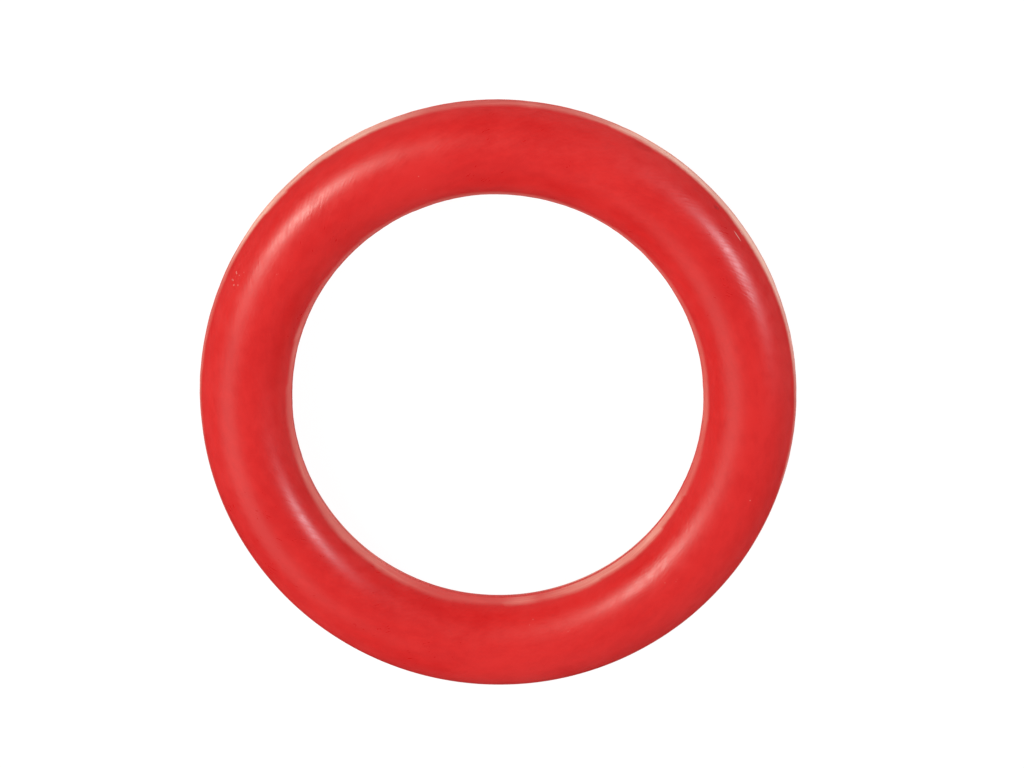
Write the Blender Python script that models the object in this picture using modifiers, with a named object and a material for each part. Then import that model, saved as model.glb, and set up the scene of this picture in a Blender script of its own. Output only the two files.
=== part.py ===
"""Hollow rubber flying ring: two moulded half rings cemented together at the equator.

Metres, +Z up. The origin is the centre of the ring, and the ring's own axis is Z.
"""

from math import acos, asin, cos, pi, radians, sin

import bpy
from mathutils import Matrix, Vector

MM = 0.001

# The ring
OUTER_DIAMETER = 165.0 * MM  # over the squeezed-out cement at the outer seam
TUBE_RADIUS = 12.7 * MM
WALL = 5.5 * MM
CROWN_FLAT = 2.0 * MM  # width of the flat that the ring lies on, top and bottom

# The cemented seam at the equator
CLEARANCE = 0.3 * MM  # between every two pieces that touch
CEMENT_THICKNESS = 0.4 * MM
RIDGE_HEIGHT = 1.2 * MM  # V ridge on the lower half, V groove in the upper half
BEAD_HEIGHT = 0.2 * MM  # how far the cement stands out of the wall
BEAD_HALF_WIDTH = 0.35 * MM

# The self-sealing plug that the ring is inflated through
PLUG_AZIMUTH = radians(90)  # round the ring, from +X
PLUG_DIP = radians(45)  # below the equator, on the side that faces the hole
PLUG_RADIUS = 3.0 * MM
PLUG_PROUD = 1.0 * MM  # how far the plug stands into the hollow
PLUG_EDGE = 0.6 * MM
SKIN_UNDER_PLUG = 2.0 * MM
DIMPLE_RADIUS = 0.8 * MM
DIMPLE_DEPTH = 0.6 * MM

# Colours (red, green, blue) and roughness of the three rubbers
RED_RUBBER = (0.70, 0.035, 0.033), 0.42
RUBBER_CEMENT = (0.42, 0.022, 0.020), 0.55
GUM_RUBBER = (0.52, 0.30, 0.12), 0.50

# How finely curves are divided
RING_STEPS = 72
OUTER_ARC_STEPS = 8  # from the seam to the crown
HOLLOW_ARC_STEPS = 10  # from seam to seam
PLUG_SIDES = 24
PLUG_EDGE_STEPS = 3
SHARP_ANGLE = radians(30)
MERGE_DISTANCE = 0.01 * MM

# What follows from those
HOLLOW_RADIUS = TUBE_RADIUS - WALL
RING_RADIUS = OUTER_DIAMETER / 2 - BEAD_HEIGHT - TUBE_RADIUS
MID_WALL = TUBE_RADIUS - WALL / 2
RIM_GAP = CEMENT_THICKNESS / 2 + CLEARANCE  # from the joint's middle to a rim


def clear_scene():
    for old in list(bpy.data.objects):
        bpy.data.objects.remove(old)


def new_collection(name):
    made = bpy.data.collections.new(name)
    bpy.context.scene.collection.children.link(made)
    return made


def make_material(name, colour, roughness):
    made = bpy.data.materials.new(name)
    made.use_nodes = True
    surface = made.node_tree.nodes["Principled BSDF"]
    surface.inputs["Base Color"].default_value = (*colour, 1.0)
    surface.inputs["Roughness"].default_value = roughness
    surface.inputs["Metallic"].default_value = 0.0
    return made


def arc(radius, start, end, steps):
    """Points along a circle about the tube's centre, as (outward, up)."""
    angles = [start + (end - start) * i / steps for i in range(steps + 1)]
    return [(radius * cos(a), radius * sin(a)) for a in angles]


def half_shell_outline(side):
    """Section of one half's wall, as (outward, up) from the tube's centre.

    side is 1 for the upper half and -1 for the lower. The outer arc is broken by the crown
    flat, and each rim carries the joint's V at the middle of the wall.
    """
    rim_outside = asin(RIM_GAP / TUBE_RADIUS)
    rim_inside = asin(RIM_GAP / HOLLOW_RADIUS)
    crown_edge = acos(CROWN_FLAT / 2 / TUBE_RADIUS)
    v_tip = RIDGE_HEIGHT + side * RIM_GAP
    outward_arc = arc(TUBE_RADIUS, rim_outside, crown_edge, OUTER_ARC_STEPS)
    inward_arc = arc(TUBE_RADIUS, pi - crown_edge, pi - rim_outside, OUTER_ARC_STEPS)
    hollow = arc(HOLLOW_RADIUS, pi - rim_inside, rim_inside, HOLLOW_ARC_STEPS)
    section = [(x, side * z) for x, z in outward_arc + inward_arc]
    section.append((-MID_WALL, v_tip))
    section += [(x, side * z) for x, z in hollow]
    section.append((MID_WALL, v_tip))
    return section


def cement_outline(facing):
    """Section of the cement film, with a small bead where it leaves the wall at either end.

    facing is 1 for the outer seam and -1 for the seam that faces the ring's hole.
    """
    half = CEMENT_THICKNESS / 2
    lower = [
        (HOLLOW_RADIUS - BEAD_HEIGHT, -half),
        (HOLLOW_RADIUS, -half),
        (MID_WALL, RIDGE_HEIGHT - half),
        (TUBE_RADIUS, -half),
        (TUBE_RADIUS, -BEAD_HALF_WIDTH),
        (TUBE_RADIUS + BEAD_HEIGHT, -half),
    ]
    upper = [
        (TUBE_RADIUS + BEAD_HEIGHT, half),
        (TUBE_RADIUS, BEAD_HALF_WIDTH),
        (TUBE_RADIUS, half),
        (MID_WALL, RIDGE_HEIGHT + half),
        (HOLLOW_RADIUS, half),
        (HOLLOW_RADIUS - BEAD_HEIGHT, half),
    ]
    return [(facing * x, z) for x, z in lower + upper]


def clockwise(outline):
    """The outline in the direction that makes a turned surface face outwards."""
    following = outline[1:] + outline[:1]
    area = sum(a[0] * b[1] - b[0] * a[1] for a, b in zip(outline, following))
    return outline[::-1] if area > 0 else outline


def turned_ring(name, outline, surface, collection):
    """Turns a closed section, drawn about the tube's centre, round the ring's axis."""
    points = [(RING_RADIUS + x, 0, z) for x, z in clockwise(outline)]
    edges = [(i, (i + 1) % len(points)) for i in range(len(points))]
    mesh = bpy.data.meshes.new(name)
    mesh.from_pydata(points, edges, [])
    mesh.materials.append(surface)
    ring = bpy.data.objects.new(name, mesh)
    collection.objects.link(ring)
    turn = ring.modifiers.new("turn", "SCREW")
    turn.angle = 2 * pi
    turn.steps = turn.render_steps = RING_STEPS
    turn.use_merge_vertices = True
    turn.merge_threshold = MERGE_DISTANCE
    turn.use_smooth_shade = True
    return ring


def plug_placement(distance):
    """A point on the plug's axis, this far from the tube's centre, with Z running out of the wall."""
    outward = Vector((cos(PLUG_AZIMUTH), sin(PLUG_AZIMUTH), 0))
    out_of_wall = -outward * cos(PLUG_DIP) - Vector((0, 0, 1)) * sin(PLUG_DIP)
    turned = out_of_wall.to_track_quat("Z", "Y").to_matrix().to_4x4()
    return Matrix.Translation(outward * RING_RADIUS + out_of_wall * distance) @ turned


def round_along_plug(name, start, end, start_radius, end_radius, collection):
    """A cylinder or cone on the plug's axis; start and end are measured from the tube's centre."""
    bpy.ops.mesh.primitive_cone_add(
        vertices=PLUG_SIDES, radius1=start_radius, radius2=end_radius, depth=end - start
    )
    made = bpy.context.object
    made.name = name
    made.matrix_world = plug_placement((start + end) / 2)
    made.data.shade_smooth()
    made.data.set_sharp_from_angle(angle=SHARP_ANGLE)
    for holder in list(made.users_collection):
        holder.objects.unlink(made)
    collection.objects.link(made)
    return made


def cut(body, cutter):
    cutter.hide_render = True
    cutter.display_type = "WIRE"
    boolean = body.modifiers.new(cutter.name, "BOOLEAN")
    boolean.operation = "DIFFERENCE"
    boolean.solver = "EXACT"
    boolean.object = cutter


def cut_plug_seat(shell, cutters):
    """The pocket that holds the plug, and the dimple outside that shows where the needle goes in."""
    pocket_radius = PLUG_RADIUS + CLEARANCE
    pocket_end = TUBE_RADIUS - SKIN_UNDER_PLUG
    pocket = round_along_plug(
        "plug_pocket", 0, pocket_end, pocket_radius, pocket_radius, cutters
    )
    cut(shell, pocket)
    # The cone goes as far past the wall as into it, so it opens to DIMPLE_RADIUS at the surface.
    dimple = round_along_plug(
        "needle_dimple",
        TUBE_RADIUS - DIMPLE_DEPTH,
        TUBE_RADIUS + DIMPLE_DEPTH,
        0,
        2 * DIMPLE_RADIUS,
        cutters,
    )
    cut(shell, dimple)


def make_plug(surface, collection):
    start = HOLLOW_RADIUS - PLUG_PROUD
    end = TUBE_RADIUS - SKIN_UNDER_PLUG - CLEARANCE
    plug = round_along_plug(
        "inflation_plug", start, end, PLUG_RADIUS, PLUG_RADIUS, collection
    )
    plug.data.materials.append(surface)
    rounding = plug.modifiers.new("rounded edges", "BEVEL")
    rounding.width = PLUG_EDGE
    rounding.segments = PLUG_EDGE_STEPS


def main():
    clear_scene()
    parts = new_collection("flying_ring")
    cutters = new_collection("cutters")
    red_rubber = make_material("red_rubber", *RED_RUBBER)
    cement = make_material("rubber_cement", *RUBBER_CEMENT)
    gum = make_material("gum_rubber", *GUM_RUBBER)

    turned_ring("upper_half_shell", half_shell_outline(1), red_rubber, parts)
    lower = turned_ring("lower_half_shell", half_shell_outline(-1), red_rubber, parts)
    cut_plug_seat(lower, cutters)
    turned_ring("outer_seam_cement", cement_outline(1), cement, parts)
    turned_ring("inner_seam_cement", cement_outline(-1), cement, parts)
    make_plug(gum, parts)


main()
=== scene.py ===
"""The looks of the hollow rubber flying ring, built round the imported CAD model.

Metres, +Z up, in the CAD's own frame: the ring's centre is the origin and its axis is Z.
A place on the ring is given by two angles: azimuth, round the ring from +X, and latitude,
round the tube from the equator that faces outwards, over the top, to the one that faces the hole.
"""

from math import atan2, cos, exp, pi, radians, sin

import bmesh
import bpy
from mathutils import Matrix, Vector, noise


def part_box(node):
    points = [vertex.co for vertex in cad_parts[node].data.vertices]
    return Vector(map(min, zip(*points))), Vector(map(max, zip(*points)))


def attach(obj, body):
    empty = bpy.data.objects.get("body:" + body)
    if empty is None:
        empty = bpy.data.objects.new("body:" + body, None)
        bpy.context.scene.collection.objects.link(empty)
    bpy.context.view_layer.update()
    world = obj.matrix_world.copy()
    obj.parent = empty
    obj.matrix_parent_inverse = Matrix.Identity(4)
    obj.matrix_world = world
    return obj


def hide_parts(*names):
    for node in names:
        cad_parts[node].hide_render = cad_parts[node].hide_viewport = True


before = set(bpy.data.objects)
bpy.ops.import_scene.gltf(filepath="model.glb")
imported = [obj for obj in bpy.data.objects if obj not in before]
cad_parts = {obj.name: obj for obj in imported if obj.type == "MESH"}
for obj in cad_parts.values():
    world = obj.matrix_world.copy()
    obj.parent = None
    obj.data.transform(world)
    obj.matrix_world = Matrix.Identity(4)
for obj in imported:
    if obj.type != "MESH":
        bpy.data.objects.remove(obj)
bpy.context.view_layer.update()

MM = 0.001

# The ring, as the CAD has it
TUBE_RADIUS = 12.7 * MM
WALL = 5.5 * MM
BEAD_HEIGHT = 0.2 * MM
BEAD_HALF_WIDTH = 0.35 * MM
RIDGE_HEIGHT = 1.2 * MM
CEMENT_THICKNESS = 0.4 * MM
RING_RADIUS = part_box("outer_seam_cement")[1].x - BEAD_HEIGHT - TUBE_RADIUS
HOLLOW_RADIUS = TUBE_RADIUS - WALL
MID_WALL = TUBE_RADIUS - WALL / 2
RIM_HALF_GAP = CEMENT_THICKNESS / 2

# The floor, a little below the ring so that the wall's slow waves stay clear of it
FLOOR_CLEARANCE = 0.05 * MM
FLOOR_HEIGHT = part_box("lower_half_shell")[0].z - FLOOR_CLEARANCE
FLOOR_SIZE = 6
FLOOR_ROUGHNESS = 0.9

# The inflation plug and the dimple where the needle goes in
PLUG_AZIMUTH = radians(90)
PLUG_LATITUDE = radians(-135)
PLUG_RADIUS = 3.0 * MM
PLUG_PROUD = 1.0 * MM  # how far it stands into the hollow
SKIN_UNDER_PLUG = 2.0 * MM
PLUG_CLEARANCE = 0.3 * MM
PLUG_INNER_END = HOLLOW_RADIUS - PLUG_PROUD  # distances from the tube's centre
PLUG_OUTER_END = TUBE_RADIUS - SKIN_UNDER_PLUG - PLUG_CLEARANCE
PLUG_SIDES = 96
PLUG_ARC_STEPS = 8  # in each curve of its profile
PLUG_DOME = 0.35 * MM
PLUG_DOME_SHARE = 0.86  # of the plug's radius
PLUG_ROUND = 0.5 * MM
PLUG_WAIST = 0.12 * MM
PLUG_WAIST_ROWS = (0.45, 0.0), (0.5, PLUG_WAIST), (0.55, 0.0)  # share of the length, and dent
PLUG_END_ROWS = 0.6, 0.4, 0.2, 0.0  # shares of the radius, on the flat end
DIMPLE_RADIUS = 0.8 * MM
DIMPLE_DEPTH = 0.6 * MM
PINHOLE_SHARE = 0.35  # how much of the dimple's depth is the needle's own hole in its middle
PINHOLE_RADIUS = 0.18 * MM
CLOSER_REACH = 3.0 * MM  # the mesh is finer this near the dimple,
CLOSER_PULL = 0.75  # by this share of the way to its middle
SLIT_HALF_LENGTH = 1.1 * MM
SLIT_HALF_WIDTH = 0.16 * MM
SLIT_DEPTH = 0.5 * MM

# The band either side of each seam where the mould's flash was ground off
BAND_HALF_WIDTH = radians(22.5)
BAND_DEPTH = 0.05 * MM
BAND_SHOULDER = radians(2.5)

# Slow waves in the moulded wall
UNEVENNESS = 0.10 * MM
UNEVENNESS_LENGTH = 20 * MM

# The cement's squeezed-out bead, which swells and ripples along the seam
BEAD_SUNK = 0.12 * MM  # how deep its foot lies in the rubber
BEAD_WAVE_LENGTH = 11 * MM
BEAD_RIPPLE_LENGTH = 2.5 * MM
BEAD_USUAL_HEIGHT = 0.6  # this and the next three are shares of the full height or width
BEAD_USUAL_WIDTH = 0.8
BEAD_SWELL = 0.4
BEAD_RIPPLE = 0.25
BEAD_BEND = 0.6  # how far out and up its section bends

# How finely the shells are divided, and which edges stay sharp
AZIMUTH_STEPS = 720
OUTER_STEPS = 72  # from seam to seam over one half
HOLLOW_STEPS = 20
SHARP_ANGLE = radians(35)

# The camera looks down the ring's axis, leaning a little
CAMERA_DISTANCE = 9 * RING_RADIUS
CAMERA_LEAN = radians(12.3)
CAMERA_LEAN_AZIMUTH = radians(84.2)
CAMERA_AIM = Vector((4.0 * MM, 4.25 * MM, 0))
CAMERA_LENS = 79.7

# The rubber's colours
RED_DEEP = (0.665, 0.0095, 0.0095)
RED_BRIGHT = (0.745, 0.0150, 0.0135)
RED_STAIN = (0.58, 0.009, 0.009)
SEAM_RED = (0.72, 0.024, 0.022)
# The seam band's pale colour: partly ground rubber, partly painted sheen standing for the floor's and
# lamps' reflection
PALE_AND_SHEEN = (1.0, 0.56, 0.44)
DUST = (0.88, 0.50, 0.44)
NICK_RED = (0.26, 0.012, 0.012)
CEMENT_RED = (0.66, 0.040, 0.035)
CEMENT_DEEP = (0.54, 0.030, 0.028)
GUM = (0.52, 0.30, 0.12)
GUM_DEEP = tuple(0.8 * part for part in GUM)

# Noises: scale in features per metre, detail and roughness
MOTTLE = 45, 4, 0.55
CLOUD = 260, 4, 0.6
GRAIN = 1500, 3, 0.6
FINE_GRAIN = 900, 3, 0.6  # of the cement and the gum
CRINKLE_KIND = 28, 2, 0.5
CRINKLE_PATCHES = 55, 2, 0.5
DUST_PATCHES = 90, 2, 0.5
PALENESS = 33, 3, 0.5

# Strokes: slant, length along the azimuth, length across it, and bend
SMEAR = -0.2, 5 * MM, 2.2 * MM, 6 * MM
SLANTED_CRINKLES = -0.24, 0.75 * MM, 2.0 * MM, 2 * MM
LENGTHWISE_CRINKLES = -0.03, 3.5 * MM, 0.6 * MM, 4 * MM
GRINDING = 0.0, 9 * MM, 0.32 * MM, 0.6 * MM
STROKE_DETAIL = 2.0, 0.55  # detail and roughness of their noise
STROKE_BEND_SCALE = 70

# Ranges: a pattern's low and high values, and what those two are turned into
LENGTHWISE_SHARE = 0.42, 0.58, 0.05, 0.50
CRINKLE_STRENGTH = 0.42, 0.60, 0.3, 1.0
STAIN_STRENGTH = 0.60, 0.78, 0.0, 0.3
SMUDGE_STRENGTH = 0.3, 0.6, 0.2, 0.6
GRINDING_PALENESS = 0.35, 0.65, 0.7, 1.1
MOTTLE_ROUGHNESS = 0.35, 0.65, 0.30, 0.36
CRINKLE_ROUGHNESS = 0.3, 0.7, -0.03, 0.04
CLOUD_ROUGHNESS = 0.3, 0.7, -0.02, 0.05
GRINDING_ROUGHNESS = 0.3, 0.7, 0.48, 0.62
CEMENT_ROUGHNESS = 0.3, 0.7, 0.50, 0.60
GUM_ROUGHNESS = 0.3, 0.7, 0.45, 0.55

# How the red rubber's patterns are put together
TONE_SHARES = 0.4, 0.25, 0.2, 0.15  # of mottle, smear, cloud and grain in the colour
TONE_RANGE = 0.38, 0.62
SPECULAR_LEVEL = 0.62
CRINKLE_DEPTH = 0.06 * MM
GRINDING_DEPTH = 0.03 * MM
BAND_STEP = 0.03 * MM
GRAIN_DEPTH = 0.010 * MM
MARK_DEPTH = 0.08 * MM

# Small marks on the skin: azimuth, latitude, length, width and turn from the azimuth's way
SCRATCH = radians(35.8), radians(37), 3.6 * MM, 0.32 * MM, radians(-3)
SHORT_SCRATCH = radians(35.6), radians(26), 1.6 * MM, 0.3 * MM, radians(-8)
NICK = radians(42.6), radians(34), 2.0 * MM, 1.3 * MM, radians(30)
SMUDGE = radians(61), radians(30), 7 * MM, 3 * MM, radians(10)
DUSTY_PATCH = radians(153.5), radians(43), 8 * MM, 6 * MM, 0.0
MARK_EDGE = 1.2, 0.3  # squares of the distance from its middle where it starts and is whole
SPECK_SCALE = 850  # specks per metre
SPECK_EDGE = 0.26, 0.13  # as shares of their spacing
DUST_EDGE = 0.70, 0.74  # of the dust patches' noise, where dust starts and is full
SPECK_DUST = 0.45
SCRATCH_DUST = 0.75
NICK_DARKNESS = 0.35
SPECK_HEIGHT = 0.4  # as a share of MARK_DEPTH

# Stretches of the seam band made palest, partly ground rubber, partly a painted reflection of
# the floor and lamps: azimuth, half-width, whether it faces the hole, and how pale
PALE_AND_SHEEN_STRETCHES = (
    (radians(40), radians(28), False, 0.76),
    (radians(6), radians(9), False, 0.25),
    (radians(130), radians(20), False, 0.60),
    (radians(-53), radians(19), True, 0.34),
    (radians(-142), radians(26), True, 0.14),
    (radians(-98), radians(22), True, -0.08),
)
STRETCH_FADE = 0.5  # as a share of its half-width
PALE_EVERYWHERE = 0.5, 0.7, 0.16, 0.4  # a range, as above
SKIN_THICKNESS = 1 * MM  # nothing deeper than this was ground
PASS_LENGTH = 13 * MM  # of one pass of the grinder
PASS_STEP = radians(5)
PASS_SLANT = 0.08  # radians of azimuth for each radian of latitude
PASS_SOFTNESS = 0.12
PASS_SHIFT = 50.3  # in passes, so that those below the seam don't mirror those above it
BAND_FRAY = 700, radians(3), 3  # scale, swing and detail of its ragged edge
BAND_SWAY = 40, radians(10)
BAND_FADE = radians(5), radians(-7)  # from where its edge starts to where it is whole
CEMENT_EDGE = radians(2), radians(4.5)
CLEAN_SEAM = radians(-56), radians(36), True  # where the cement nearly keeps its own colour
CEMENT_PALING = 0.75, 0.1  # elsewhere, and in the clean stretch

# The studio's lamps: azimuth, lean off the ring's axis, size in metres, power in watts, colour
# and whether it shows in gloss
SOFTBOX_DISTANCE = 1.2
SOFTBOXES = {
    "key_softbox": (radians(147), radians(43), 0.37, 6.8, (1.0, 0.95, 0.84), True),
    "side_softbox": (radians(21), radians(56.5), 0.28, 3.9, (0.93, 0.94, 1.0), True),
    "left_softbox": (radians(212), radians(48), 0.8, 1.4, (1.0, 0.88, 0.80), True),
    "left_fill": (radians(205), radians(50), 1.0, 3.8, (1.0, 1.0, 1.0), False),
    "right_fill": (radians(42), radians(66), 1.0, 1.4, (1.0, 1.0, 1.0), False),
    "low_fill": (radians(290), radians(63), 1.0, 3.7, (1.0, 1.0, 1.0), False),
}
# The dome's radiance at the horizon and overhead, as it lights and as it's reflected
DOME_LIGHTS = 0.20, 0.26
DOME_REFLECTED = 0.0, 0.28
BACKDROP_SEEN = 0.95
# The floor's own glow and its albedo, as it lights things, in reflections and as it is seen
FLOOR_GLOW = 0.85, 0.0, 0.96
FLOOR_ALBEDO = 0.45, 0.03, 0.10


def tube_point(azimuth, latitude, radius):
    """The point at this distance from the tube's centre."""
    outward = RING_RADIUS + radius * cos(latitude)
    return Vector((outward * cos(azimuth), outward * sin(azimuth), radius * sin(latitude)))


def from_equator(latitude):
    """The angle from here to the nearer of the two seams."""
    folded = abs(atan2(sin(latitude), cos(latitude)))
    return min(folded, pi - folded)


def pulled(angle, centre, reach):
    """The angle, moved towards centre when within reach of it, so that steps lie closer there."""
    away = atan2(sin(angle - centre), cos(angle - centre))
    return angle - CLOSER_PULL * away * exp(-((away / reach) ** 2))


def wall_radius(azimuth, latitude):
    """The outer wall: the CAD's round, less slow waves, the ground band and the needle dimple."""
    place = tube_point(azimuth, latitude, TUBE_RADIUS)
    wave = 0.5 + 0.5 * noise.noise(place / UNEVENNESS_LENGTH)
    ground = 1 / (1 + exp((from_equator(latitude) - BAND_HALF_WIDTH) / BAND_SHOULDER))
    dimple_centre = tube_point(PLUG_AZIMUTH, PLUG_LATITUDE, TUBE_RADIUS)
    away = (place - dimple_centre).length
    bowl = max(0.0, 1 - (away / DIMPLE_RADIUS) ** 2) ** 2
    dimple = bowl + PINHOLE_SHARE * (exp(-((away / PINHOLE_RADIUS) ** 2)) - bowl)
    return TUBE_RADIUS - UNEVENNESS * wave - BAND_DEPTH * ground - DIMPLE_DEPTH * dimple


def shell_section(azimuth, side):
    """One half's closed section at this azimuth, as points; side is 1 above and -1 below."""
    rim = RIM_HALF_GAP / TUBE_RADIUS
    points = []
    for i in range(OUTER_STEPS + 1):
        latitude = side * (rim + (pi - 2 * rim) * i / OUTER_STEPS)
        latitude = pulled(latitude, PLUG_LATITUDE, CLOSER_REACH / TUBE_RADIUS)
        points.append(tube_point(azimuth, latitude, wall_radius(azimuth, latitude)))
    v_height = RIDGE_HEIGHT + side * RIM_HALF_GAP
    facing = Vector((cos(azimuth), sin(azimuth), 0))
    points.append(facing * (RING_RADIUS - MID_WALL) + Vector((0, 0, v_height)))
    inner_rim = RIM_HALF_GAP / HOLLOW_RADIUS
    for i in range(HOLLOW_STEPS + 1):
        latitude = side * (pi - inner_rim - (pi - 2 * inner_rim) * i / HOLLOW_STEPS)
        points.append(tube_point(azimuth, latitude, HOLLOW_RADIUS))
    points.append(facing * (RING_RADIUS + MID_WALL) + Vector((0, 0, v_height)))
    return points


def cement_section(azimuth, facing):
    """The cement film's section; facing is 1 for the outer seam, -1 for the one at the hole."""
    place = tube_point(azimuth, 0, TUBE_RADIUS)
    swell = noise.noise(place / BEAD_WAVE_LENGTH + Vector((facing, 0, 0)))
    ripple = noise.noise(place / BEAD_RIPPLE_LENGTH - Vector((facing, 0, 0)))
    proud = BEAD_HEIGHT * (BEAD_USUAL_HEIGHT + BEAD_SWELL * swell + BEAD_RIPPLE * ripple)
    spread = BEAD_HALF_WIDTH * (BEAD_USUAL_WIDTH + BEAD_SWELL * swell)
    half = RIM_HALF_GAP
    outline = [
        (HOLLOW_RADIUS - BEAD_HEIGHT, -half),
        (MID_WALL, RIDGE_HEIGHT - half),
        (TUBE_RADIUS - BEAD_SUNK, -half),
        (TUBE_RADIUS - BEAD_SUNK, -spread),
        (TUBE_RADIUS + BEAD_BEND * proud, -BEAD_BEND * spread),
        (TUBE_RADIUS + proud, 0),
        (TUBE_RADIUS + BEAD_BEND * proud, BEAD_BEND * spread),
        (TUBE_RADIUS - BEAD_SUNK, spread),
        (TUBE_RADIUS - BEAD_SUNK, half),
        (MID_WALL, RIDGE_HEIGHT + half),
        (HOLLOW_RADIUS - BEAD_HEIGHT, half),
    ]
    across = Vector((cos(azimuth), sin(azimuth), 0))
    return [across * (RING_RADIUS + facing * x) + Vector((0, 0, z)) for x, z in outline]


def closed_ring(name, section):
    """Joins a section at every azimuth into one closed mesh; section(azimuth) gives its points."""
    reach = CLOSER_REACH / (RING_RADIUS + TUBE_RADIUS * cos(PLUG_LATITUDE))
    even = [2 * pi * i / AZIMUTH_STEPS for i in range(AZIMUTH_STEPS)]
    rows = [section(pulled(azimuth, PLUG_AZIMUTH, reach)) for azimuth in even]
    count = len(rows[0])
    points = [p for row in rows for p in row]
    faces = []
    for i in range(AZIMUTH_STEPS):
        here, there = i * count, (i + 1) % AZIMUTH_STEPS * count
        for j in range(count):
            k = (j + 1) % count
            faces.append((here + j, there + j, there + k, here + k))
    return solid(name, points, faces)


def solid(name, points, faces):
    mesh = bpy.data.meshes.new(name)
    mesh.from_pydata(points, [], faces)
    mesh.shade_smooth()
    mesh.set_sharp_from_angle(angle=SHARP_ANGLE)
    made = bpy.data.objects.new(name, mesh)
    bpy.context.scene.collection.objects.link(made)
    face_outwards(made)
    return made


def plug_profile():
    """The plug's outline as (along, radius), from its centre at the hollow's end to the other."""
    length = PLUG_OUTER_END - PLUG_INNER_END
    quarter = [pi / 2 * i / PLUG_ARC_STEPS for i in range(PLUG_ARC_STEPS + 1)]
    rows = []
    for turn in quarter:
        rows.append((PLUG_DOME * (1 - cos(turn)), PLUG_RADIUS * sin(turn) * PLUG_DOME_SHARE))
    for turn in quarter:
        share = PLUG_DOME_SHARE + (1 - PLUG_DOME_SHARE) * sin(turn)
        rows.append((PLUG_DOME + PLUG_ROUND * (1 - cos(turn)), PLUG_RADIUS * share))
    for share, dent in PLUG_WAIST_ROWS:
        rows.append((length * share, PLUG_RADIUS - dent))
    for turn in quarter:
        along = length - PLUG_ROUND * (1 - sin(turn))
        rows.append((along, PLUG_RADIUS - PLUG_ROUND * (1 - cos(turn))))
    for share in PLUG_END_ROWS:
        rows.append((length, PLUG_RADIUS * share))
    return rows


def rubber_plug():
    """The self-sealing plug, with the slit that the needle has opened in the end at the hollow."""
    outward = Vector((cos(PLUG_AZIMUTH), sin(PLUG_AZIMUTH), 0))
    axis = outward * cos(PLUG_LATITUDE) + Vector((0, 0, sin(PLUG_LATITUDE)))
    side = Vector((0, 0, 1)).cross(outward)
    other = axis.cross(side)
    start = outward * RING_RADIUS + axis * PLUG_INNER_END
    profile = plug_profile()[1:-1]
    points = []
    for along, radius in profile:
        for i in range(PLUG_SIDES):
            turn = 2 * pi * i / PLUG_SIDES
            x, y = radius * cos(turn), radius * sin(turn)
            slit = exp(-((x / SLIT_HALF_LENGTH) ** 4) - (y / SLIT_HALF_WIDTH) ** 2)
            deep = SLIT_DEPTH * slit if along < PLUG_DOME else 0.0
            points.append(start + axis * (along + deep) + side * x + other * y)
    faces = []
    for row in range(len(profile) - 1):
        for i in range(PLUG_SIDES):
            k = (i + 1) % PLUG_SIDES
            here, there = row * PLUG_SIDES, (row + 1) * PLUG_SIDES
            faces.append((here + i, here + k, there + k, there + i))
    points.append(start + axis * SLIT_DEPTH)
    points.append(start + axis * (PLUG_OUTER_END - PLUG_INNER_END))
    last = (len(profile) - 1) * PLUG_SIDES
    for i in range(PLUG_SIDES):
        k = (i + 1) % PLUG_SIDES
        faces.append((len(points) - 2, k, i))
        faces.append((len(points) - 1, last + i, last + k))
    return solid("rubber_plug", points, faces)


def face_outwards(thing):
    cage = bmesh.new()
    cage.from_mesh(thing.data)
    bmesh.ops.recalc_face_normals(cage, faces=cage.faces)
    cage.to_mesh(thing.data)
    cage.free()


def stand_for(piece, node, surface):
    piece.data.materials.append(surface)
    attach(piece, "root")
    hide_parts(node)


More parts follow.
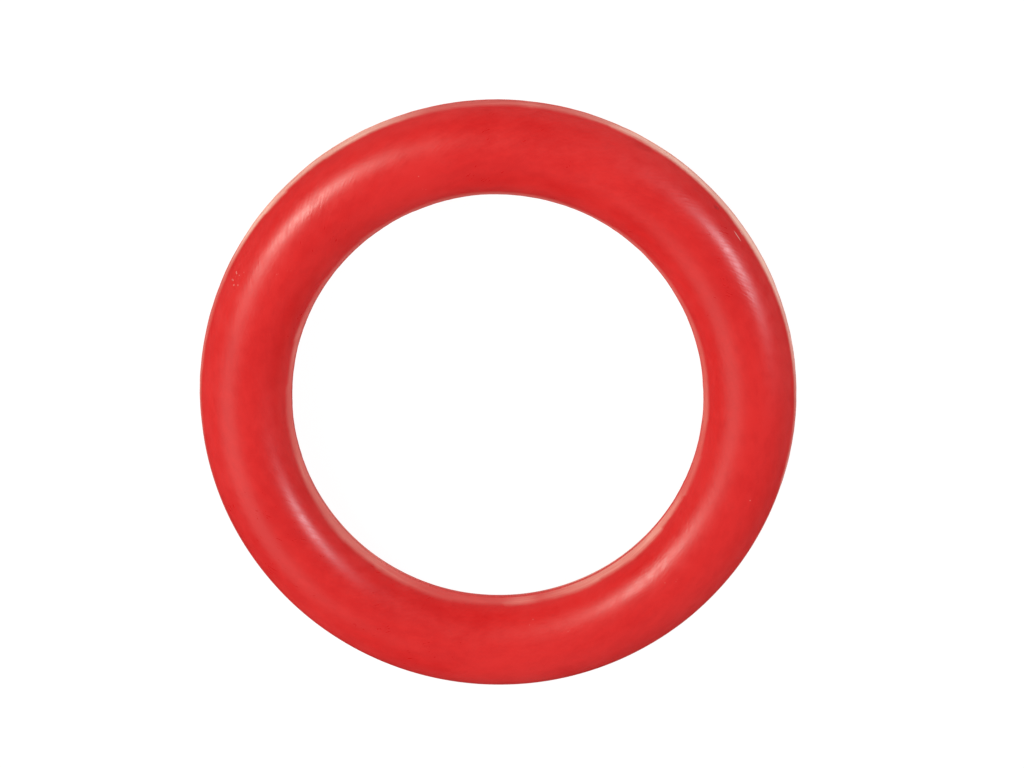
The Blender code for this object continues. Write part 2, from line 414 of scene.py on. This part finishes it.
class Nodes:
    """Short calls for building one material's nodes."""

    def __init__(self, name):
        self.material = bpy.data.materials.new(name)
        self.material.use_nodes = True
        self.tree = self.material.node_tree
        self.surface = self.tree.nodes["Principled BSDF"]

    @classmethod
    def on(cls, tree):
        """The same calls for a node tree that isn't a material's."""
        made = cls.__new__(cls)
        made.tree = tree
        return made

    def add(self, kind, **settings):
        made = self.tree.nodes.new(kind)
        for key, value in settings.items():
            setattr(made, key, value)
        return made

    def plug(self, socket, value):
        if isinstance(value, bpy.types.NodeSocket):
            self.tree.links.new(value, socket)
        else:
            socket.default_value = value

    def math(self, operation, *values):
        made = self.add("ShaderNodeMath", operation=operation)
        for socket, value in zip(made.inputs, values):
            self.plug(socket, value)
        return made.outputs[0]

    def between(self, value, low, high, to_low=0.0, to_high=1.0):
        made = self.add("ShaderNodeMapRange", interpolation_type="SMOOTHSTEP")
        for key, given in zip(made.inputs.keys()[:5], (value, low, high, to_low, to_high)):
            self.plug(made.inputs[key], given)
        return made.outputs[0]

    def noise(self, where, scale, detail=2.0, roughness=0.5):
        """Noise about 0.5; scale is in features per metre when where is in metres."""
        made = self.add("ShaderNodeTexNoise")
        self.plug(made.inputs["Vector"], where)
        made.inputs["Scale"].default_value = scale
        made.inputs["Detail"].default_value = detail
        made.inputs["Roughness"].default_value = roughness
        return made.outputs[0]

    def sway(self, where, scale, swing, detail=2.0):
        """Noise about zero, between roughly plus and minus half of swing."""
        about_zero = self.math("SUBTRACT", self.noise(where, scale, detail), 0.5)
        return self.math("MULTIPLY", about_zero, swing)

    def mix(self, share, first, second):
        made = self.add("ShaderNodeMix", data_type="RGBA")
        self.plug(made.inputs["Factor"], share)
        self.plug(made.inputs[6], first)
        self.plug(made.inputs[7], second)
        return made.outputs[2]

    def blend(self, share, first, second):
        made = self.add("ShaderNodeMix", data_type="FLOAT")
        self.plug(made.inputs["Factor"], share)
        self.plug(made.inputs[2], first)
        self.plug(made.inputs[3], second)
        return made.outputs[0]

    def sum(self, *values):
        total = values[0]
        for value in values[1:]:
            total = self.math("ADD", total, value)
        return total

    def product(self, *values):
        total = values[0]
        for value in values[1:]:
            total = self.math("MULTIPLY", total, value)
        return total

    def vector(self, x, y, z):
        made = self.add("ShaderNodeCombineXYZ")
        for socket, value in zip(made.inputs, (x, y, z)):
            self.plug(socket, value)
        return made.outputs[0]

    def bump(self, height, depth, below=None):
        """A bump whose height of 1 is this deep; below is the normal that it goes on top of."""
        made = self.add("ShaderNodeBump")
        made.inputs["Distance"].default_value = depth
        self.plug(made.inputs["Height"], height)
        if below is not None:
            self.plug(made.inputs["Normal"], below)
        return made.outputs[0]


class RingPlace:
    """Azimuth and latitude of the shaded point as sockets, and patterns laid out by them."""

    def __init__(self, n):
        self.n = n
        self.where = n.add("ShaderNodeTexCoord").outputs["Object"]
        parts = n.add("ShaderNodeSeparateXYZ")
        n.plug(parts.inputs[0], self.where)
        x, y, z = parts.outputs
        outward = n.math("SQRT", n.sum(n.product(x, x), n.product(y, y)))
        self.azimuth = n.math("ARCTAN2", y, x)
        across = n.math("SUBTRACT", outward, RING_RADIUS)
        self.latitude = n.math("ARCTAN2", z, across)
        distance_squared = n.sum(n.product(across, across), n.product(z, z))
        deepest = TUBE_RADIUS - SKIN_THICKNESS
        self.on_skin = n.math("GREATER_THAN", distance_squared, deepest**2)
        folded = n.math("ABSOLUTE", self.latitude)
        self.from_equator = n.math("MINIMUM", folded, n.math("SUBTRACT", pi, folded))
        self.at_hole = n.math("GREATER_THAN", folded, pi / 2)

    def strokes(self, slant, along, across, bend=0.0):
        """Noise with features this long along the azimuth and across it.

        slant is in radians of azimuth for each radian of latitude, and bend is how far slow
        waves push the strokes sideways, so that they fan out.
        """
        n = self.n
        turned = n.sum(self.azimuth, n.product(self.latitude, slant))
        x = n.product(n.math("COSINE", turned), RING_RADIUS / along)
        y = n.product(n.math("SINE", turned), RING_RADIUS / along)
        bending = n.sway(self.where, STROKE_BEND_SCALE, bend)
        sideways = n.sum(n.product(self.latitude, TUBE_RADIUS), bending)
        return n.noise(n.vector(x, y, n.product(sideways, 1 / across)), 1.0, *STROKE_DETAIL)

    def mark(self, azimuth, latitude, length, width, turn):
        """1 inside a small oval on the skin and 0 outside; turn is its angle from the azimuth's way."""
        n = self.n
        distance = RING_RADIUS + TUBE_RADIUS * cos(latitude)
        u = n.product(n.math("SUBTRACT", self.azimuth, azimuth), distance)
        v = n.product(n.math("SUBTRACT", self.latitude, latitude), TUBE_RADIUS)
        along = n.sum(n.product(u, 2 * cos(turn) / length), n.product(v, 2 * sin(turn) / length))
        beside = n.sum(n.product(v, 2 * cos(turn) / width), n.product(u, -2 * sin(turn) / width))
        away = n.sum(n.product(along, along), n.product(beside, beside))
        return n.between(away, *MARK_EDGE)

    def stretch(self, azimuth, half_width, at_hole):
        """1 along part of the ring, on its outside or its inside, and 0 elsewhere."""
        n = self.n
        away = n.math("ABSOLUTE", n.math("SUBTRACT", self.azimuth, azimuth))
        side = self.at_hole if at_hole else n.math("SUBTRACT", 1.0, self.at_hole)
        fade = STRETCH_FADE * half_width
        return n.product(n.between(away, half_width + fade, half_width - fade), side)


def ground_band(n, place):
    """1 where the flash was ground off, in passes whose edges step in and out."""
    passes = n.add("ShaderNodeTexVoronoi", voronoi_dimensions="1D", feature="SMOOTH_F1")
    passes.inputs["Scale"].default_value = 1.0
    passes.inputs["Smoothness"].default_value = PASS_SOFTNESS
    turned = n.sum(place.azimuth, n.product(place.latitude, PASS_SLANT))
    shift = n.product(n.math("SIGN", place.latitude), PASS_SHIFT)
    n.plug(passes.inputs["W"], n.sum(n.product(turned, RING_RADIUS / PASS_LENGTH), shift))
    step = n.product(n.math("SUBTRACT", passes.outputs["Color"], 0.5), PASS_STEP)
    frayed = n.sway(place.where, *BAND_FRAY)
    edge = n.sum(place.from_equator, n.sway(place.where, *BAND_SWAY), step, frayed)
    starts, whole = (BAND_HALF_WIDTH + fade for fade in BAND_FADE)
    return n.product(n.between(edge, starts, whole), place.on_skin)


def paleness_and_sheen(n, place):
    """How pale the seam band is made, from 0 to 1: partly ground rubber, partly painted sheen."""
    pale = n.between(n.noise(place.where, *PALENESS), *PALE_EVERYWHERE)
    for azimuth, half_width, at_hole, strength in PALE_AND_SHEEN_STRETCHES:
        pale = n.sum(pale, n.product(place.stretch(azimuth, half_width, at_hole), strength))
    return n.math("MAXIMUM", n.math("MINIMUM", pale, 1.0), 0.0)


def cement_paling(n, place):
    """How much of the band's pale colour and painted sheen the cement itself has taken on."""
    return n.between(place.stretch(*CLEAN_SEAM), 0.0, 1.0, *CEMENT_PALING)


def crinkles(n, place):
    """Fine wrinkles from the mould, slanted in some places and more lengthwise in others."""
    slanted = place.strokes(*SLANTED_CRINKLES)
    lengthwise = place.strokes(*LENGTHWISE_CRINKLES)
    share = n.between(n.noise(place.where, *CRINKLE_KIND), *LENGTHWISE_SHARE)
    return n.blend(share, slanted, lengthwise)


def dust_specks(n, place):
    """1 on small raised specks, thinly scattered and in one dusty patch."""
    cells = n.add("ShaderNodeTexVoronoi")
    n.plug(cells.inputs["Vector"], place.where)
    cells.inputs["Scale"].default_value = SPECK_SCALE
    dots = n.between(cells.outputs["Distance"], *SPECK_EDGE)
    scattered = n.between(n.noise(place.where, *DUST_PATCHES), *DUST_EDGE)
    return n.product(dots, n.math("MAXIMUM", scattered, place.mark(*DUSTY_PATCH)))


def stains(n, place, cloud):
    """How strongly the rubber is stained, by faint clouds and by one smudge."""
    smudge = n.product(place.mark(*SMUDGE), n.between(cloud, *SMUDGE_STRENGTH))
    return n.math("MAXIMUM", n.between(cloud, *STAIN_STRENGTH), smudge)


def red_rubber():
    """Satin moulded rubber, with a paler, rougher band along each seam; its pale colour is partly
    painted sheen.
    """
    n = Nodes("red_rubber")
    place = RingPlace(n)
    mottle = n.noise(place.where, *MOTTLE)
    cloud = n.noise(place.where, *CLOUD)
    smear = place.strokes(*SMEAR)
    grain = n.noise(place.where, *GRAIN)
    wrinkles = crinkles(n, place)
    grinding = place.strokes(*GRINDING)
    ground = ground_band(n, place)
    unground = n.math("SUBTRACT", 1.0, ground)
    specks = dust_specks(n, place)
    scratches = n.math("MAXIMUM", place.mark(*SCRATCH), place.mark(*SHORT_SCRATCH))
    nick = place.mark(*NICK)

    patterns = zip((mottle, smear, cloud, grain), TONE_SHARES)
    tone = n.sum(*(n.product(pattern, share) for pattern, share in patterns))
    moulded = n.mix(n.between(tone, *TONE_RANGE), (*RED_DEEP, 1), (*RED_BRIGHT, 1))
    moulded = n.mix(stains(n, place, cloud), moulded, (*RED_STAIN, 1))
    # The seam band's pale colour is partly ground rubber and partly painted sheen, a reflection of the
    # floor and lamps painted in
    by_cement = n.between(place.from_equator, *CEMENT_EDGE, cement_paling(n, place), 1.0)
    pale_and_sheen_share = n.product(paleness_and_sheen(n, place), n.between(grinding, *GRINDING_PALENESS), by_cement)
    scoured_and_sheen = n.mix(pale_and_sheen_share, (*SEAM_RED, 1), (*PALE_AND_SHEEN, 1))
    colour = n.mix(ground, moulded, scoured_and_sheen)
    dusty = n.sum(n.product(specks, SPECK_DUST), n.product(scratches, SCRATCH_DUST))
    colour = n.mix(dusty, colour, (*DUST, 1))
    colour = n.mix(n.product(nick, NICK_DARKNESS), colour, (*NICK_RED, 1))
    n.plug(n.surface.inputs["Base Color"], colour)

    satin = n.sum(
        n.between(mottle, *MOTTLE_ROUGHNESS),
        n.between(wrinkles, *CRINKLE_ROUGHNESS),
        n.between(cloud, *CLOUD_ROUGHNESS),
    )
    roughness = n.blend(ground, satin, n.between(grinding, *GRINDING_ROUGHNESS))
    n.plug(n.surface.inputs["Roughness"], roughness)
    n.surface.inputs["Specular IOR Level"].default_value = SPECULAR_LEVEL

    patchy = n.between(n.noise(place.where, *CRINKLE_PATCHES), *CRINKLE_STRENGTH)
    relief = n.bump(n.product(wrinkles, unground, patchy), CRINKLE_DEPTH)
    relief = n.bump(n.product(grinding, ground), GRINDING_DEPTH, relief)
    relief = n.bump(unground, BAND_STEP, relief)
    relief = n.bump(grain, GRAIN_DEPTH, relief)
    dents = n.sum(n.product(specks, SPECK_HEIGHT), n.product(n.sum(scratches, nick), -1.0))
    relief = n.bump(dents, MARK_DEPTH, relief)
    n.plug(n.surface.inputs["Normal"], relief)
    return n.material


def seam_cement():
    """Matte cement, paled along with the rubber beside it, painted sheen included."""
    n = Nodes("rubber_cement")
    place = RingPlace(n)
    grain = n.noise(place.where, *FINE_GRAIN)
    own = n.mix(grain, (*CEMENT_DEEP, 1), (*CEMENT_RED, 1))
    paled = n.product(paleness_and_sheen(n, place), cement_paling(n, place))
    n.plug(n.surface.inputs["Base Color"], n.mix(paled, own, (*PALE_AND_SHEEN, 1)))
    n.plug(n.surface.inputs["Roughness"], n.between(grain, *CEMENT_ROUGHNESS))
    return n.material


def gum_rubber():
    """Soft unpigmented rubber."""
    n = Nodes("gum_rubber")
    grain = n.noise(n.add("ShaderNodeTexCoord").outputs["Object"], *FINE_GRAIN)
    n.plug(n.surface.inputs["Base Color"], n.mix(grain, (*GUM_DEEP, 1), (*GUM, 1)))
    n.plug(n.surface.inputs["Roughness"], n.between(grain, *GUM_ROUGHNESS))
    return n.material


def softbox(name, azimuth, lean, size, power, colour, in_gloss):
    """A square lamp aimed at the ring, leaning this far off the ring's axis."""
    lamp = bpy.data.lights.new(name, "AREA")
    lamp.size = size
    lamp.energy = power
    lamp.color = colour
    made = bpy.data.objects.new(name, lamp)
    outward = Vector((sin(lean) * cos(azimuth), sin(lean) * sin(azimuth), cos(lean)))
    made.location = outward * SOFTBOX_DISTANCE
    made.rotation_mode = "QUATERNION"
    made.rotation_quaternion = outward.to_track_quat("Z", "Y")
    made.visible_glossy = in_gloss
    bpy.context.scene.collection.objects.link(made)


def by_ray(n, lights, reflected, seen):
    """One value where a surface or the sky lights things, one in reflections, one as seen."""
    ray = n.add("ShaderNodeLightPath").outputs
    return n.blend(ray["Is Camera Ray"], n.blend(ray["Is Glossy Ray"], lights, reflected), seen)


def studio():
    """Softboxes over the ring, under a dome that is brighter overhead than at the horizon."""
    for name, settings in SOFTBOXES.items():
        softbox(name, *settings)
    world = bpy.data.worlds.new("studio")
    world.use_nodes = True
    n = Nodes.on(world.node_tree)
    height = n.add("ShaderNodeSeparateXYZ")
    n.plug(height.inputs[0], n.add("ShaderNodeTexCoord").outputs["Generated"])
    up = n.math("MAXIMUM", height.outputs["Z"], 0.0)
    lights = n.blend(up, *DOME_LIGHTS)
    reflected = n.blend(up, *DOME_REFLECTED)
    backdrop = world.node_tree.nodes["Background"]
    backdrop.inputs["Color"].default_value = (1, 1, 1, 1)
    n.plug(backdrop.inputs["Strength"], by_ray(n, lights, reflected, BACKDROP_SEEN))
    world.cycles.sampling_method = "NONE"
    bpy.context.scene.world = world
    bpy.context.scene.view_settings.view_transform = "Standard"


def floor():
    bpy.ops.mesh.primitive_plane_add(size=FLOOR_SIZE, location=(0, 0, FLOOR_HEIGHT))
    made = bpy.context.object
    made.name = "floor"
    n = Nodes("pale_floor")
    albedo = by_ray(n, *FLOOR_ALBEDO)
    glow = by_ray(n, *FLOOR_GLOW)
    n.plug(n.surface.inputs["Base Color"], n.vector(albedo, albedo, albedo))
    n.surface.inputs["Roughness"].default_value = FLOOR_ROUGHNESS
    n.surface.inputs["Specular IOR Level"].default_value = 0.0
    n.surface.inputs["Emission Color"].default_value = (1, 1, 1, 1)
    n.plug(n.surface.inputs["Emission Strength"], glow)
    n.material.cycles.emission_sampling = "NONE"
    made.data.materials.append(n.material)


def camera():
    lens = bpy.data.cameras.new("camera")
    lens.lens = CAMERA_LENS
    made = bpy.data.objects.new("camera", lens)
    lean = Vector((cos(CAMERA_LEAN_AZIMUTH), sin(CAMERA_LEAN_AZIMUTH), 0)) * sin(CAMERA_LEAN)
    back = lean + Vector((0, 0, cos(CAMERA_LEAN)))
    eye = back * CAMERA_DISTANCE
    forward = (CAMERA_AIM - eye).normalized()
    right = forward.cross(Vector((0, 1, 0))).normalized()
    up = right.cross(forward)
    made.matrix_world = Matrix.Translation(eye) @ Matrix((right, up, -forward)).transposed().to_4x4()
    bpy.context.scene.collection.objects.link(made)
    bpy.context.scene.camera = made


camera()
studio()
floor()

rubber = red_rubber()
cement = seam_cement()
for half, side in (("upper", 1), ("lower", -1)):
    shell = closed_ring(f"{half}_half_wall", lambda a: shell_section(a, side))
    stand_for(shell, f"{half}_half_shell", rubber)
for seam, facing in (("outer", 1), ("inner", -1)):
    film = closed_ring(f"{seam}_cement_film", lambda a: cement_section(a, facing))
    stand_for(film, f"{seam}_seam_cement", cement)
stand_for(rubber_plug(), "inflation_plug", gum_rubber())
